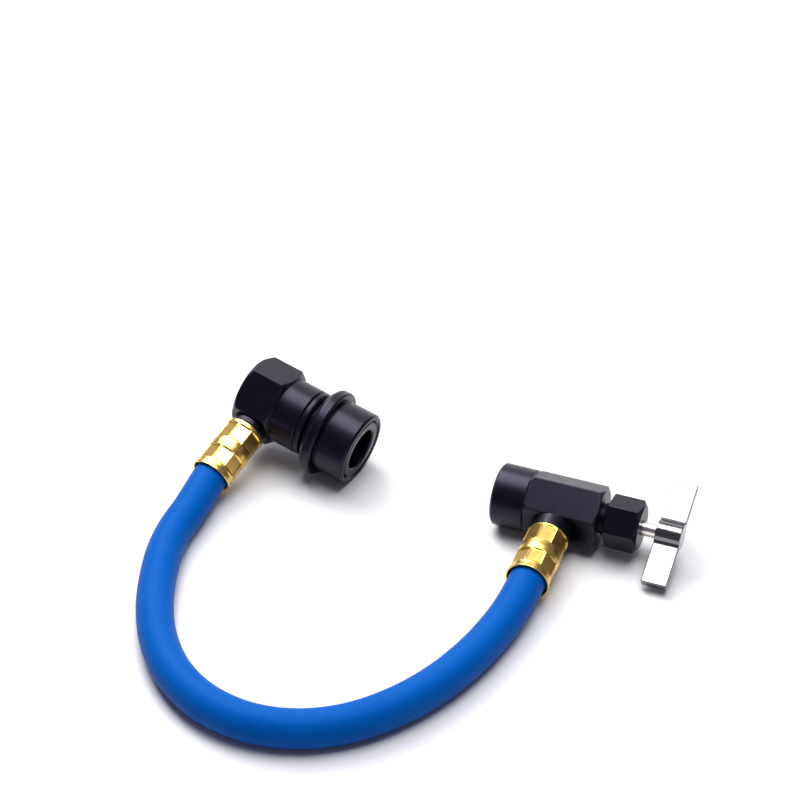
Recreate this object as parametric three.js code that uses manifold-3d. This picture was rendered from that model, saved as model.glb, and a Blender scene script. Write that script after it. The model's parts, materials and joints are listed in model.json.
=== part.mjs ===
// Refrigerant charging hose: quick coupler, crimped hose and can tap valve.
// Millimetres, +Z up, floor at z = 0. +X runs along the tap's axis, from the
// can socket towards the wing handle. The hose ports point towards -Y.
import * as THREE from 'three';
import { mergeVertices } from 'three/addons/utils/BufferGeometryUtils.js';
import Module from 'manifold-3d';

const wasm = await Module();
wasm.setup();
const deg = Math.PI / 180;
const gap = 0.3;

// Hose
const hoseR = 6.25;
const hoseBoreR = 3.3;
const squeezedR = 5.8;

// Crimp ferrule, distances measured out along the port from the fitting's axis
const ferruleStart = 15.7;
const ferruleEnd = 37.7;
const ferruleWall = 1.5;
const ferruleR = 7.3;
const crimpFlats = 13.5;
const lipR = 7.65;
const lipMouthR = 7.15;
const gripEnd = 33.7;
const lastCrimp = [28.2, 34.6];
const couplerFirstCrimp = [17.3, 24.2];
const tapFirstCrimp = [16.2, 23.8];
const couplerCrimpRoll = -12;
const tapCrimpRoll = -8;

// Hose nipple
const nippleBoreR = 1.5;
const barbR = 2.75;
const shankR = 4.0;
const neckR = 4.6;
const collarR = 6.8;
const shankDepth = 5.7;
const tapShankDepth = 4.2;
const portPassageR = 2;

// Can tap, distances along its axis from the port
const tapBlockFlats = 20.2;
const tapBlockR = tapBlockFlats / Math.sqrt(3);
const tapRoll = -5;
const tapBack = -11.4;
const tapFront = 14.45;
const socketR = 11.0;
const socketEnd = -23.3;
const socketBoreR = 6.1;
const socketDepth = 11;
const washerBoreR = 2.6;
const washerThick = 2;
const tapNeckR = 5.9;
const tapNeckEnd = 24.2;
const stemBoreEnd = -7;
const nutFlats = 16.3;
const nutStart = 16.95;
const nutEnd = 28.65;
const nutRoll = 16;
const nutBoreEnd = 26.2;
const stemR = 2.5;
const needleR = 1.25;
const needleGap = 0.35;
const needleTip = -14.6;
const stemShoulder = 3.4;
const handleStart = 33.95;
const handleWidth = 8.9;
const handleLength = 40;
const handleThick = 3.0;
const hubR = 4.45;
const wingBlend = 1.9;
const wingChamfer = 0.4;
const hubWallEnd = 1.3;
const handleTilt = -25;

// Quick coupler, distances along its axis from the port
const blockFlats = 26;
const blockR = blockFlats / Math.sqrt(3);
const blockBack = -7.95;
const blockFront = 7.2;
const couplerRoll = -17.9;
const couplerNeckR = 12.3;
const couplerNeckEnd = 17.2;
const coreTailR = 8;
const coreTailStart = 5.3;
const corePassageR = 3;
const ringR = 12.2;
const ringEnd = 19.9;
const coreR = 9.6;
const landR = 10.9;
const landStart = 32.8;
const mouth = 39.4;
const mouthChamfer = 0.8;
const portBoreR = 7.7;
const portBoreStart = 26;
const guideBoreR = 4.9;
const guideBoreStart = 20;
const flangeR = 16.15;
const flangeStart = 22.0;
const flangeEnd = 27.1;
const flangeRound = 1.3;
const barrelR = 13.6;
const sealR = 1.2;
const pinR = 1.4;
const pinTailStart = 9;
const pinTip = 31;
const guideThick = 2;

// Where the two fittings lie
const portsApart = 114.86;
const portsStagger = 8.97;
const loopDepth = 129.8;
const tapPlace = new THREE.Vector3(-tapFront, 0, tapBlockR * Math.cos(tapRoll * deg));
const tapAxis = new THREE.Vector3(1, 0, 0);
const barrelEnd = mouth - mouthChamfer;
const couplerTilt = Math.atan2(flangeR - barrelR, barrelEnd - flangeEnd + flangeRound);
const couplerHeading = -8.4 * deg;
const couplerAxis = new THREE.Vector3(
  Math.cos(couplerHeading) * Math.cos(couplerTilt),
  Math.sin(couplerHeading) * Math.cos(couplerTilt),
  -Math.sin(couplerTilt)
);
const couplerPlace = new THREE.Vector3(
  tapPlace.x - portsApart,
  tapPlace.y + portsStagger,
  barrelR * Math.cos(couplerTilt) + barrelEnd * Math.sin(couplerTilt)
);

function solid(geometry) {
  const g = new THREE.BufferGeometry();
  const flat = geometry.index ? geometry.toNonIndexed() : geometry;
  g.setAttribute('position', flat.getAttribute('position').clone());
  const m = mergeVertices(g, 1e-4);
  const mesh = new wasm.Mesh({
    numProp: 3,
    vertProperties: new Float32Array(m.getAttribute('position').array),
    triVerts: new Uint32Array(m.index.array)
  });
  return new wasm.Manifold(mesh);
}

// A turned solid about local Z. Points are [radius, distance along the axis].
function turned(points, sides = 32) {
  const pts = points.map(([r, z]) => new THREE.Vector2(r, z));
  const g = new THREE.LatheGeometry(pts, sides);
  g.rotateX(Math.PI / 2);
  return g;
}

function rod(radius, z0, z1, sides = 32) {
  return solid(turned([[0, z0], [radius, z0], [radius, z1], [0, z1]], sides));
}

// A regular prism along local Z with one flat facing local +Y.
function prism(flats, sides, z0, z1, roll = 0) {
  const r = flats / 2 / Math.cos(Math.PI / sides);
  const shape = new THREE.Shape();
  for (let i = 0; i < sides; i += 1) {
    const a = Math.PI / 2 + Math.PI / sides + roll * deg + (i * 2 * Math.PI) / sides;
    if (i === 0) shape.moveTo(r * Math.cos(a), r * Math.sin(a));
    else shape.lineTo(r * Math.cos(a), r * Math.sin(a));
  }
  shape.closePath();
  const g = new THREE.ExtrudeGeometry(shape, { depth: z1 - z0, bevelEnabled: false, steps: 1 });
  g.translate(0, 0, z0);
  return solid(g);
}

// A rod along local +Y, for the hose port.
function portRod(radius, y0, y1, sides = 24) {
  const g = turned([[0, y0], [radius, y0], [radius, y1], [0, y1]], sides);
  g.rotateX(-Math.PI / 2);
  return solid(g);
}

// Local frame of a fitting: Z along its axis, Y along its hose port.
function fittingFrame(place, axis, roll) {
  const level = new THREE.Vector3(axis.y, -axis.x, 0).normalize();
  const up = new THREE.Vector3().crossVectors(level, axis);
  const port = level.clone().multiplyScalar(Math.cos(roll * deg))
    .addScaledVector(up, Math.sin(roll * deg));
  const side = new THREE.Vector3().crossVectors(port, axis);
  return new THREE.Matrix4().makeBasis(side, port, axis).setPosition(place);
}

const tapFrame = fittingFrame(tapPlace, tapAxis, tapRoll);
const couplerFrame = fittingFrame(couplerPlace, couplerAxis, couplerRoll);
const turnToPort = new THREE.Matrix4().makeRotationX(-Math.PI / 2);
const tapPort = tapFrame.clone().multiply(turnToPort);
const couplerPort = couplerFrame.clone().multiply(turnToPort);

const group = new THREE.Group();
group.name = 'charging_hose';

const looks = {
  black: { color: 0x16151c, roughness: 0.42, metalness: 0.7 },
  brass: { color: 0xd9b64a, roughness: 0.25, metalness: 1.0 },
  blue: { color: 0x0a5fc8, roughness: 0.6, metalness: 0.0 },
  rubber: { color: 0x121212, roughness: 0.8, metalness: 0.0 },
  steel: { color: 0xb9b2a4, roughness: 0.3, metalness: 1.0 },
  chrome: { color: 0xdedede, roughness: 0.12, metalness: 1.0 }
};

function add(name, look, body, frame) {
  const out = body.getMesh();
  const g = new THREE.BufferGeometry();
  g.setAttribute('position', new THREE.BufferAttribute(new Float32Array(out.vertProperties), 3));
  g.setIndex(new THREE.BufferAttribute(new Uint32Array(out.triVerts), 1));
  if (frame) g.applyMatrix4(frame);
  const mesh = new THREE.Mesh(g, new THREE.MeshStandardMaterial(looks[look]));
  mesh.name = name;
  group.add(mesh);
}

// Coupler block: hexagon with turned ends, round neck, bores for core and nipple
function makeCouplerBlock() {
  const face = blockFlats / 2 + 0.1;
  const envelope = solid(turned([
    [0, blockBack], [face, blockBack], [blockR + 0.1, blockBack + 1.9],
    [blockR + 0.1, blockFront - 1.5], [face, blockFront], [0, blockFront]
  ], 48));
  let body = prism(blockFlats, 6, blockBack - 1, blockFront + 1).intersect(envelope);
  body = body.add(solid(turned([
    [0, 0], [couplerNeckR, 0], [couplerNeckR, couplerNeckEnd - 0.3],
    [couplerNeckR - 0.3, couplerNeckEnd], [0, couplerNeckEnd]
  ], 40)));
  const passageR = corePassageR + 0.2;
  body = body.subtract(rod(coreTailR + gap, coreTailStart - gap, couplerNeckEnd + 1));
  body = body.subtract(rod(passageR, -passageR, coreTailStart, 24));
  const shankEnd = blockFlats / 2 - shankDepth - gap;
  body = body.subtract(portRod(shankR + gap, shankEnd, blockFlats));
  return body.subtract(portRod(portPassageR, 0, shankEnd + 1));
}

// Coupler core: threaded tail, ring, tube and the land that the sleeve rides on
function makeCouplerCore() {
  return solid(turned([
    [corePassageR, coreTailStart], [coreTailR, coreTailStart],
    [coreTailR, couplerNeckEnd + gap], [ringR - 0.25, couplerNeckEnd + gap],
    [ringR, couplerNeckEnd + gap + 0.25], [ringR, ringEnd - 0.9], [ringR - 0.3, ringEnd - 0.3],
    [ringR - 1, ringEnd], [coreR, ringEnd], [coreR, landStart], [landR, landStart],
    [landR, mouth - 0.6], [landR - 0.4, mouth - 0.2], [portBoreR + 0.5, mouth - 0.2],
    [portBoreR, mouth - 0.7], [portBoreR, portBoreStart], [guideBoreR, portBoreStart],
    [guideBoreR, guideBoreStart], [corePassageR, guideBoreStart], [corePassageR, coreTailStart]
  ], 30));
}

// Coupler sleeve: finger flange and barrel in one turned piece
function makeCouplerSleeve() {
  return solid(turned([
    [coreR + gap, flangeStart], [flangeR - 2.1, flangeStart + 0.1],
    [flangeR - 0.9, flangeStart + 0.5], [flangeR - 0.3, flangeStart + 0.9],
    [flangeR, flangeStart + 1.5], [flangeR, flangeEnd - flangeRound],
    [flangeR - 0.25, flangeEnd - 0.5], [flangeR - 0.8, flangeEnd], [barrelR - 0.5, flangeEnd],
    [barrelR - 0.5, flangeEnd + 0.6], [barrelR, flangeEnd + 0.9], [barrelR, barrelEnd],
    [barrelR - 0.7, mouth],
    [landR + gap + 0.8, mouth], [landR + gap, mouth - 0.9], [landR + gap, landStart - gap],
    [coreR + gap, landStart - gap], [coreR + gap, flangeStart]
  ], 32));
}

// Seal ring at the bottom of the coupler's bore
function makeCouplerSeal() {
  const pts = [];
  for (let i = 0; i <= 8; i += 1) {
    const a = (-i * 2 * Math.PI) / 8;
    pts.push([
      portBoreR - gap - sealR + sealR * Math.cos(a),
      portBoreStart + gap + sealR - sealR * Math.sin(a)
    ]);
  }
  return solid(turned(pts, 20));
}

// Depressor: pin with a guide collar, pushes the service port's valve open
function makeDepressor() {
  return solid(turned([
    [0, pinTailStart], [pinR, pinTailStart], [pinR, guideBoreStart + gap],
    [guideBoreR - gap - 0.1, guideBoreStart + gap],
    [guideBoreR - gap - 0.1, guideBoreStart + gap + guideThick],
    [pinR + 0.2, guideBoreStart + gap + guideThick], [pinR + 0.2, pinTip - 0.6],
    [pinR - 0.3, pinTip], [0, pinTip]
  ], 20));
}

// Nipple: shank in the block, collar, ferrule neck and smooth barb, drilled through
function makeNipple(shankStart, faceAt) {
  return solid(turned([
    [nippleBoreR, shankStart], [shankR, shankStart], [shankR, faceAt + gap],
    [collarR, faceAt + gap], [collarR, ferruleStart - gap], [neckR, ferruleStart - gap],
    [neckR, ferruleStart + ferruleWall + 0.1], [barbR, ferruleStart + ferruleWall + 0.1],
    [barbR, gripEnd - 0.6], [barbR - 0.5, gripEnd], [nippleBoreR, gripEnd],
    [nippleBoreR, shankStart]
  ], 18));
}

// Ferrule: turned shell with a flared lip, two eight-sided crimps
function makeFerrule(firstCrimp, roll) {
  const inner = squeezedR + gap;
  const wallEnd = ferruleStart + ferruleWall;
  let body = solid(turned([
    [neckR + gap, ferruleStart], [ferruleR - 0.5, ferruleStart], [ferruleR, ferruleStart + 0.4],
    [ferruleR, lastCrimp[1]], [ferruleR - 0.05, lastCrimp[1] + 1], [lipR - 0.1, ferruleEnd - 0.8],
    [lipR, ferruleEnd],
    [lipMouthR, ferruleEnd], [hoseR + gap, ferruleEnd - 1.3], [hoseR + gap, gripEnd],
    [inner, gripEnd], [inner, wallEnd], [neckR + gap, wallEnd], [neckR + gap, ferruleStart]
  ], 24));
  for (const [z0, z1] of [firstCrimp, lastCrimp]) {
    const flats = prism(crimpFlats, 8, z0 - 1, z1 + 1, roll);
    body = body.subtract(rod(ferruleR + 1, z0, z1, 12).subtract(flats));
  }
  return body;
}

// Tap body: round can socket, hexagonal block, threaded neck, bores
function makeTapBody() {
  const half = tapBlockR + 0.1;
  const envelope = solid(turned([
    [0, tapBack], [socketR, tapBack], [half, tapBack + 1.6], [half, tapFront - 1.1],
    [tapBlockR - 1.6, tapFront], [0, tapFront]
  ], 48));
  let body = prism(tapBlockFlats, 6, tapBack - 1, tapFront + 1).intersect(envelope);
  body = body.add(solid(turned([
    [0, socketEnd], [socketR - 0.9, socketEnd], [socketR, socketEnd + 0.8],
    [socketR, tapBack + 0.2], [0, tapBack + 0.2]
  ], 40)));
  body = body.add(rod(tapNeckR, 0, tapNeckEnd, 32));
  body = body.subtract(rod(socketBoreR, socketEnd - 1, socketEnd + socketDepth, 32));
  body = body.subtract(rod(needleR + needleGap, socketEnd, stemBoreEnd + 1, 20));
  body = body.subtract(rod(stemR + gap, stemBoreEnd, tapNeckEnd + 1, 24));
  const shankEnd = tapBlockFlats / 2 - tapShankDepth - gap;
  body = body.subtract(portRod(shankR + gap, shankEnd, tapBlockFlats));
  return body.subtract(portRod(portPassageR, 0, shankEnd + 1));
}

// Seal washer in the bottom of the can socket
function makeCanSeal() {
  const z1 = socketEnd + socketDepth - gap;
  const z0 = z1 - washerThick;
  const r = socketBoreR - gap;
  return solid(turned([
    [washerBoreR, z0], [r, z0], [r, z1], [washerBoreR, z1], [washerBoreR, z0]
  ], 28));
}

// Packing nut with turned ends, threaded over the tap's neck
function makePackingNut() {
  const r = nutFlats / Math.sqrt(3);
  const envelope = solid(turned([
    [0, nutStart], [r - 0.5, nutStart], [r + 0.1, nutStart + 0.4],
    [r + 0.1, nutEnd - 1.3], [r - 1.9, nutEnd], [0, nutEnd]
  ], 48));
  let body = prism(nutFlats, 6, nutStart - 1, nutEnd + 1, nutRoll).intersect(envelope);
  body = body.subtract(rod(tapNeckR + gap, nutStart - 1, nutBoreEnd, 32));
  return body.subtract(rod(stemR + gap, nutStart, nutEnd + 1, 24));
}

// Stem packing between the tap's neck and the nut
function makePacking() {
  const z0 = tapNeckEnd + gap;
  const z1 = nutBoreEnd - gap;
  const r = stemR + gap;
  return solid(turned([[r, z0], [tapNeckR, z0], [tapNeckR, z1], [r, z1], [r, z0]], 28));
}

// Valve stem with a piercing needle
function makeStem() {
  const end = handleStart + handleWidth - hubWallEnd - gap;
  return solid(turned([
    [0, needleTip], [0.35, needleTip + 0.4], [needleR, needleTip + 3],
    [needleR, stemShoulder - 1.2], [stemR, stemShoulder],
    [stemR, end - 0.3], [stemR - 0.3, end], [0, end]
  ], 24));
}

// Wing handle: flat bar across a round hub, with a blind hole for the stem
function makeHandle() {
  const half = handleLength / 2;
  const t = handleThick / 2;
  const blend = wingBlend;
  const cut = wingChamfer;
  const reach = Math.sqrt((hubR + blend) ** 2 - (t + blend) ** 2);
  const touch = Math.atan2(t + blend, reach);
  const shape = new THREE.Shape();
  shape.moveTo(half - cut, -t);
  shape.lineTo(half, -t + cut);
  shape.lineTo(half, t - cut);
  shape.lineTo(half - cut, t);
  shape.lineTo(reach, t);
  shape.absarc(reach, t + blend, blend, -Math.PI / 2, Math.PI + touch, true);
  shape.absarc(0, 0, hubR, touch, Math.PI - touch, false);
  shape.absarc(-reach, t + blend, blend, -touch, -Math.PI / 2, true);
  shape.lineTo(-half + cut, t);
  shape.lineTo(-half, t - cut);
  shape.lineTo(-half, -t + cut);
  shape.lineTo(-half + cut, -t);
  shape.lineTo(-reach, -t);
  shape.absarc(-reach, -t - blend, blend, Math.PI / 2, touch, true);
  shape.absarc(0, 0, hubR, Math.PI + touch, 2 * Math.PI - touch, false);
  shape.absarc(reach, -t - blend, blend, Math.PI - touch, Math.PI / 2, true);
  shape.closePath();
  const g = new THREE.ExtrudeGeometry(shape, {
    depth: handleWidth, bevelEnabled: false, steps: 1, curveSegments: 8
  });
  g.translate(0, 0, handleStart);
  let body = solid(g);
  body = body.subtract(rod(stemR + gap, handleStart - 1, handleStart + handleWidth - hubWallEnd, 24));
  return body.rotate([0, 0, 90 + tapRoll - handleTilt]);
}

// Hose route: through both ferrules and round the floor between them
function alongPort(frame, distance) {
  return new THREE.Vector3(0, distance, 0).applyMatrix4(frame);
}
// Shares of portsApart from the coupler's port, shares of loopDepth, and height off the floor
const floorRoute = [
  [-0.0635, 0.3351, 0.95], [-0.0643, 0.4160, 0.05], [-0.0487, 0.5046, 0.00], [-0.0147, 0.6009, 0.00],
  [0.0410, 0.7165, 0.00], [0.1194, 0.8267, 0.00], [0.2238, 0.9199, 0.00], [0.3492, 0.9800, 0.00],
  [0.4850, 1.0000, 0.00], [0.6174, 0.9777, 0.00], [0.7358, 0.9160, 0.00], [0.8324, 0.8220, 0.00],
  [0.9047, 0.7103, 0.00], [0.9534, 0.5901, 0.00], [0.9822, 0.4738, 0.15], [0.9952, 0.3891, 0.90]
];
const routePoints = [
  alongPort(couplerFrame, gripEnd + gap), alongPort(couplerFrame, ferruleEnd),
  alongPort(couplerFrame, ferruleEnd + 5),
  ...floorRoute.map(([across, down, lift]) => new THREE.Vector3(
    couplerPlace.x + across * portsApart, -down * loopDepth, hoseR + lift
  )),
  alongPort(tapFrame, ferruleEnd + 5), alongPort(tapFrame, ferruleEnd),
  alongPort(tapFrame, gripEnd + gap)
];

function ringShape(radius, sides) {
  const shape = new THREE.Shape();
  for (let i = 0; i < sides; i += 1) {
    const a = ((i + 0.5) * 2 * Math.PI) / sides;
    if (i === 0) shape.moveTo(radius * Math.cos(a), radius * Math.sin(a));
    else shape.lineTo(radius * Math.cos(a), radius * Math.sin(a));
  }
  shape.closePath();
  return shape;
}

function sweep(points, radius, sides, steps) {
  const path = new THREE.CatmullRomCurve3(points, false, 'centripetal');
  return solid(new THREE.ExtrudeGeometry(ringShape(radius, sides), {
    steps, extrudePath: path, bevelEnabled: false
  }));
}

function makeHose() {
  const start = ferruleStart + ferruleWall + gap;
  let body = sweep(routePoints, hoseR, 12, 44);
  for (const frame of [couplerPort, tapPort]) {
    body = body.add(rod(squeezedR, start, gripEnd + 1, 16).transform(frame.elements));
  }
  const bore = [
    alongPort(couplerFrame, start - 1), ...routePoints, alongPort(tapFrame, start - 1)
  ];
  return body.subtract(sweep(bore, hoseBoreR, 8, 46));
}

add('coupler_block', 'black', makeCouplerBlock(), couplerFrame);
add('coupler_core', 'black', makeCouplerCore(), couplerFrame);
add('coupler_sleeve', 'black', makeCouplerSleeve(), couplerFrame);
add('coupler_seal', 'rubber', makeCouplerSeal(), couplerFrame);
add('core_depressor', 'steel', makeDepressor(), couplerFrame);
add('coupler_nipple', 'black', makeNipple(blockFlats / 2 - shankDepth, blockFlats / 2), couplerPort);
add('coupler_ferrule', 'brass', makeFerrule(couplerFirstCrimp, couplerCrimpRoll), couplerPort);
add('hose', 'blue', makeHose());
add('tap_nipple', 'black', makeNipple(tapBlockFlats / 2 - tapShankDepth, tapBlockFlats / 2), tapPort);
add('tap_ferrule', 'brass', makeFerrule(tapFirstCrimp, tapCrimpRoll), tapPort);
add('tap_body', 'black', makeTapBody(), tapFrame);
add('can_seal', 'rubber', makeCanSeal(), tapFrame);
add('packing_nut', 'black', makePackingNut(), tapFrame);
add('stem_packing', 'rubber', makePacking(), tapFrame);
add('valve_stem', 'steel', makeStem(), tapFrame);
add('wing_handle', 'chrome', makeHandle(), tapFrame);

// The origin goes to the floor below the middle of the two fittings, leaving the hose out
const fittings = new THREE.Box3();
for (const mesh of group.children) {
  if (mesh.name !== 'hose') fittings.expandByObject(mesh, true);
}
const middle = fittings.getCenter(new THREE.Vector3());
for (const mesh of group.children) mesh.geometry.translate(-middle.x, -middle.y, 0);

export default group;
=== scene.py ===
# Looks of a refrigerant charging hose: quick coupler, crimped hose and can tap.
# Objects are in metres, +Z up. Profiles of turned pieces are in millimetres.
import json
import math

import bpy
import numpy as np
from mathutils import Matrix, Vector

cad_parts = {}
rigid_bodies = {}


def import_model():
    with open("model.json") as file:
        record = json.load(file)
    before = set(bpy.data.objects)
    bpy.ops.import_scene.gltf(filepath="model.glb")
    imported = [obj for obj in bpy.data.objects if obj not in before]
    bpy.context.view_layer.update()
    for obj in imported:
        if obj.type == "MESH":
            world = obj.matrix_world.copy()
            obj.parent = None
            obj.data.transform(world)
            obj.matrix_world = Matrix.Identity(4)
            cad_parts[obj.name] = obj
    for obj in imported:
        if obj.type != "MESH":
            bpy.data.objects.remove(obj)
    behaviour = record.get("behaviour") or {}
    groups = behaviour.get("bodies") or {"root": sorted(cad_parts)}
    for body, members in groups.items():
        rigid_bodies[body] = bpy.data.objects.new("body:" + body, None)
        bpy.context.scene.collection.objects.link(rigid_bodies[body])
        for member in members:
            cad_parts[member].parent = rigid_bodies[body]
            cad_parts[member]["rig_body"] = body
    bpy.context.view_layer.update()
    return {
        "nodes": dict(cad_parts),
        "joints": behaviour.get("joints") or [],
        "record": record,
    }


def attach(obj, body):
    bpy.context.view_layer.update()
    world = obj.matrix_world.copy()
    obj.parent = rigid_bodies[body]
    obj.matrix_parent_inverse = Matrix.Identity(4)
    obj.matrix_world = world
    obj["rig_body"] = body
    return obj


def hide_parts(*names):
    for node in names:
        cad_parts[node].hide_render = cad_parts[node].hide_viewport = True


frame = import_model()
MM = 0.001

# Camera, fitted to the hose and both fittings
CAMERA_PLACE = (0.194237, -0.520429, 0.44582)
CAMERA_LOOK = (-0.30301, 0.75636, -0.57975)
CAMERA_LENS = 90.6

# Hose
HOSE_R = 6.25
HOSE_BORE_R = 3.3
SQUEEZED_R = 5.8
HOSE_SIDES = 56
HOSE_SWELL = 1.4
HOSE_STEPS = 14
HOSE_ROUTE = [
    (-0.07868, -0.03662, 0.0072), (-0.07878, -0.04712, 0.0063), (-0.07698, -0.05862, 0.00625),
    (-0.07308, -0.07112, 0.00625), (-0.06668, -0.08612, 0.00625), (-0.05768, -0.10042, 0.00625),
    (-0.04568, -0.11252, 0.00625), (-0.03128, -0.12032, 0.00625), (-0.01568, -0.12292, 0.00625),
    (-0.00048, -0.12002, 0.00625), (0.01312, -0.11202, 0.00625), (0.02422, -0.09982, 0.00625),
    (0.03252, -0.08532, 0.00625), (0.03812, -0.06972, 0.00625), (0.04142, -0.05462, 0.0064),
    (0.04292, -0.04362, 0.00715),
]

# Crimp ferrule, measured out along the hose port from the fitting's axis
FERRULE_START = 15.7
FERRULE_END = 37.7
GRIP_END = 33.7
FERRULE_R = 7.3
FERRULE_BOTTOM = 1.5
HOSE_INSET = 1.8
LIP_GROOVE_R = 6.55
CRIMP_SIDES = 8
CRIMP_FLATS = 13.5
LAST_CRIMP = (28.2, 34.6)
COUPLER_FIRST_CRIMP = (17.3, 24.2)
COUPLER_CRIMP_ROLL = -12
TAP_FIRST_CRIMP = (16.2, 23.8)
TAP_CRIMP_ROLL = -8
GAP = 0.3

# Hose nipple and the hole that its shank goes in
SHANK_R = 4.0
COLLAR_R = 6.8
NIPPLE_NECK_R = 4.6
BARB_R = 2.75
NIPPLE_BORE_R = 1.5
COUPLER_SHANK_START = 7.3
TAP_SHANK_START = 5.9

# Fittings, measured along their own axes from the hose port
TAP_FLATS = 20.2
TAP_ROLL = -5
TAP_BACK = -11.4
TAP_FRONT = 14.45
SOCKET_END = -23.3
SOCKET_R = 11
SOCKET_BORE_R = 6.1
SOCKET_DEPTH = 11
TAP_NECK_R = 5.9
TAP_NECK_END = 24.2
PACKING_START = 24.5
NUT_FLATS = 16.3
NUT_ROLL = 16
NUT_START = 16.95
NUT_END = 28.65
NUT_BORE_R = 6.2
NUT_BORE_END = 26.2
HANDLE_START = 33.95
HANDLE_WIDTH = 8.9
HANDLE_LENGTH = 40
HANDLE_THICK = 3.0
HUB_R = 4.45
HUB_WALL = 1.3
WING_FLOW = 1.9
HANDLE_TILT = -25
STEM_R = 2.5
STEM_HOLE_R = 2.8
NEEDLE_R = 1.25
NEEDLE_TIP = -14.6
COUPLER_FLATS = 26
COUPLER_ROLL = -17.9
BLOCK_BACK = -7.95
BLOCK_FRONT = 7.2
BLOCK_FACE_R = 13.1
COUPLER_NECK_R = 12.3
COUPLER_NECK_END = 17.2
CORE_TAIL_R = 8
CORE_TAIL_START = 5.3
CORE_PASSAGE_R = 3
RING_R = 12.2
RING_END = 19.9
TUBE_R = 9.6
LAND_R = 10.9
LAND_START = 32.8
LAND_FACE = 39.2
LAND_MID_R = 9.35
PORT_BORE_R = 7.7
PORT_BORE_START = 26
GUIDE_BORE_R = 4.9
GUIDE_BORE_START = 20
FLANGE_R = 16.15
FLANGE_START = 22.0
FLANGE_END = 27.1
BARREL_R = 13.6
MOUTH = 39.4
SEAL_PLACE = (6.2, 27.5)
SEAL_R = 1.2


# Local frame of a fitting: Z along its axis, Y along its hose port
def fitting_frame(place, axis, roll):
    level = Vector((axis.y, -axis.x, 0)).normalized()
    up = level.cross(axis)
    turn = math.radians(roll)
    port = level * math.cos(turn) + up * math.sin(turn)
    side = port.cross(axis)
    return Matrix.Translation(place) @ Matrix((side, port, axis)).transposed().to_4x4()


mounts = {m["name"]: m for m in frame["record"]["mounts"]}
joints = {j["name"]: j for j in frame["joints"]}
tap_rim = Vector(mounts["can_socket_rim"]["pos_m"])
turn_axis = Vector(joints["handle_turn"]["pos_m"])
tap_place = Vector((tap_rim.x - SOCKET_END * MM, turn_axis.y, turn_axis.z))
TAP = fitting_frame(tap_place, Vector((1, 0, 0)), TAP_ROLL)
coupler_axis = Vector(mounts["coupler_mouth"]["axis"]).normalized()
coupler_side = fitting_frame(Vector(), coupler_axis, COUPLER_ROLL).col[0].xyz
coupler_place = (
    Vector(mounts["coupler_mouth"]["pos_m"])
    - coupler_axis * LAND_FACE * MM - coupler_side * LAND_MID_R * MM
)
COUPLER = fitting_frame(coupler_place, coupler_axis, COUPLER_ROLL)
TO_PORT = Matrix.Rotation(-math.pi / 2, 4, "X")
TAP_PORT = TAP @ TO_PORT
COUPLER_PORT = COUPLER @ TO_PORT


# Camera first; the hose is made before the fittings
def make_camera():
    data = bpy.data.cameras.new("camera")
    data.sensor_width = 36
    data.lens = CAMERA_LENS
    camera = bpy.data.objects.new("camera", data)
    camera.location = CAMERA_PLACE
    camera.rotation_euler = Vector(CAMERA_LOOK).to_track_quat("-Z", "Y").to_euler()
    bpy.context.scene.collection.objects.link(camera)
    bpy.context.scene.camera = camera


make_camera()


# Shader helpers
def new_material(name):
    material = bpy.data.materials.new(name)
    material.use_nodes = True
    shader = material.node_tree.nodes["Principled BSDF"]
    return material, material.node_tree, shader


def node(tree, kind, **inputs):
    made = tree.nodes.new(kind)
    for label, value in inputs.items():
        put(tree, made.inputs[label.replace("_", " ")], value)
    return made


def put(tree, socket, value):
    if isinstance(value, bpy.types.NodeSocket):
        tree.links.new(value, socket)
    else:
        socket.default_value = value


def attribute(tree, name):
    made = tree.nodes.new("ShaderNodeAttribute")
    made.attribute_name = name
    return made.outputs["Fac"]


def noise(tree, scale, detail=2.0, stretch=None, source="Object"):
    where = tree.nodes.new("ShaderNodeTexCoord").outputs[source]
    if stretch:
        where = node(tree, "ShaderNodeMapping", Vector=where, Scale=stretch).outputs[0]
    made = node(tree, "ShaderNodeTexNoise", Vector=where, Scale=scale, Detail=detail)
    return made.outputs["Fac"]


def spread(tree, value, low, high, start=0.0, end=1.0):
    made = node(tree, "ShaderNodeMapRange", Value=value, From_Min=start, From_Max=end,
                To_Min=low, To_Max=high)
    return made.outputs[0]


def blend(tree, share, first, second):
    made = tree.nodes.new("ShaderNodeMix")
    made.data_type = "RGBA"
    put(tree, made.inputs[0], share)
    put(tree, made.inputs[6], first)
    put(tree, made.inputs[7], second)
    return made.outputs[2]


def bump(tree, height, strength, distance, below=None):
    made = node(tree, "ShaderNodeBump", Height=height, Strength=strength, Distance=distance)
    if below:
        tree.links.new(below, made.inputs["Normal"])
    return made.outputs[0]


def turning_marks(tree, fineness):
    along = attribute(tree, "along")
    made = tree.nodes.new("ShaderNodeTexNoise")
    made.noise_dimensions = "1D"
    tree.links.new(along, made.inputs["W"])
    made.inputs["Scale"].default_value = fineness
    made.inputs["Detail"].default_value = 3.0
    return made.outputs["Fac"]


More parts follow.
